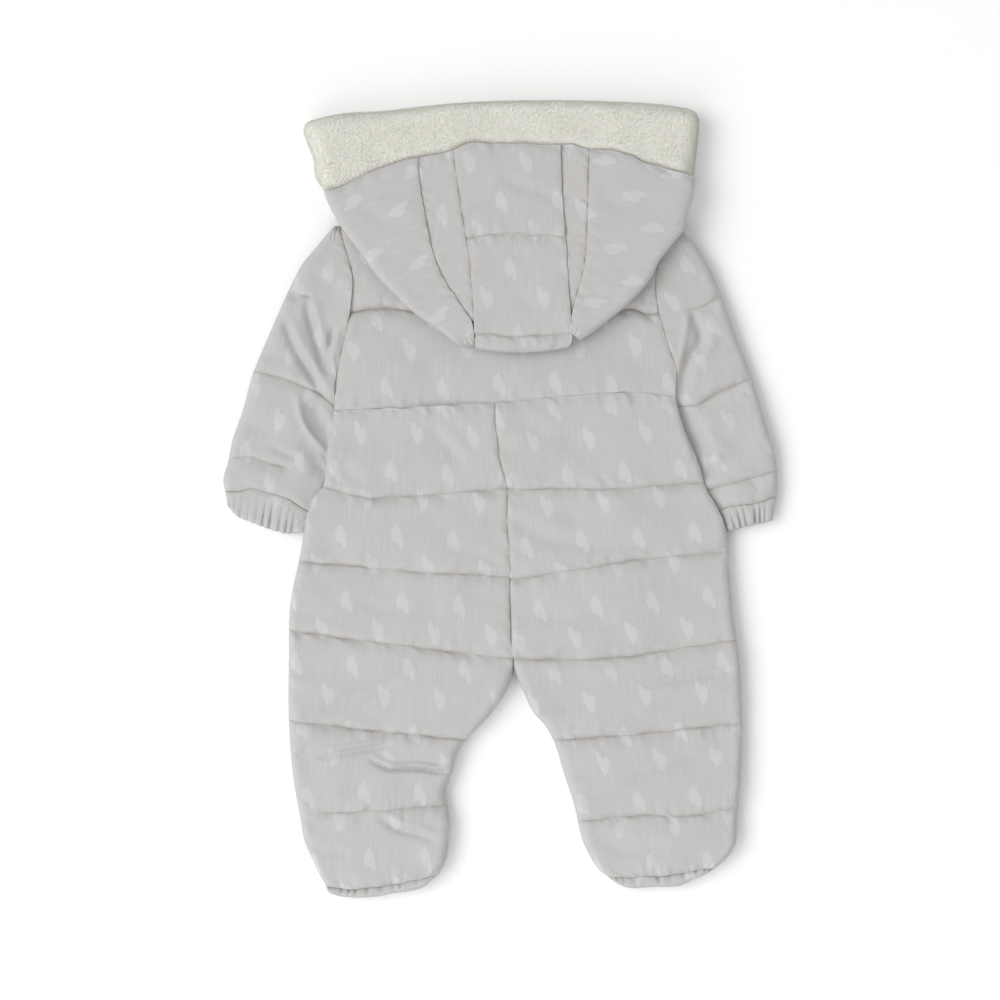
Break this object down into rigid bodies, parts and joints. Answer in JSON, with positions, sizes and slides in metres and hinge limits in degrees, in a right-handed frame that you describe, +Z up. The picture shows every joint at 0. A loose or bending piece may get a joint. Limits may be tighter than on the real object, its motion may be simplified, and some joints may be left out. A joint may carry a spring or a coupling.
{
  "type": "quilted baby pramsuit with hood and feet",
  "caption": "Baby's quilted, padded all-in-one with feet, long sleeves and a hood with a fleece brim, laid flat face down with the hood turned back over the yoke.",
  "frame": {"origin": "on the table under the middle of the garment's outline, brim to toes and cuff to cuff", "axes": "+Z up out of the table, through the back of the garment; +Y towards the hood's brim; +X to the right seen from above"},
  "size_m": [0.4421, 0.6373, 0.0327],
  "materials": {
    "linen_cloth": "slubbed melange weave, matt, with small pale woven hearts",
    "fleece": "short dense cream pile",
    "zip_tape": "woven zip tape",
    "zip_metal": "satin"
  },
  "bodies": {
    "root": {"back_yoke": "linen_cloth", "back_left": "linen_cloth", "back_right": "linen_cloth", "front_left": "linen_cloth", "front_right": "linen_cloth", "sleeve_left_back": "linen_cloth", "sleeve_left_front": "linen_cloth", "sleeve_right_back": "linen_cloth", "sleeve_right_front": "linen_cloth", "cuff_left_back": "linen_cloth", "cuff_left_front": "linen_cloth", "cuff_right_back": "linen_cloth", "cuff_right_front": "linen_cloth", "sole_left": "linen_cloth", "sole_right": "linen_cloth", "hood_centre": "linen_cloth", "hood_strip_left": "linen_cloth", "hood_strip_right": "linen_cloth", "hood_side_left": "linen_cloth", "hood_side_right": "linen_cloth", "hood_fold": "linen_cloth", "hood_neck_back": "linen_cloth", "hood_neck_front": "linen_cloth", "brim_back": "fleece", "brim_front": "fleece", "zip_tape": "zip_tape", "zip_slider": "zip_metal"},
    "pull": {"zip_pull": "zip_metal"}
  },
  "joints": [
    {"name": "pull_swing", "type": "hinge", "parent": "root", "child": "pull", "pos_m": [0.005, 0.213, 0.0016], "axis": [1, 0, 0], "range_deg": [0, 180]}
  ]
}
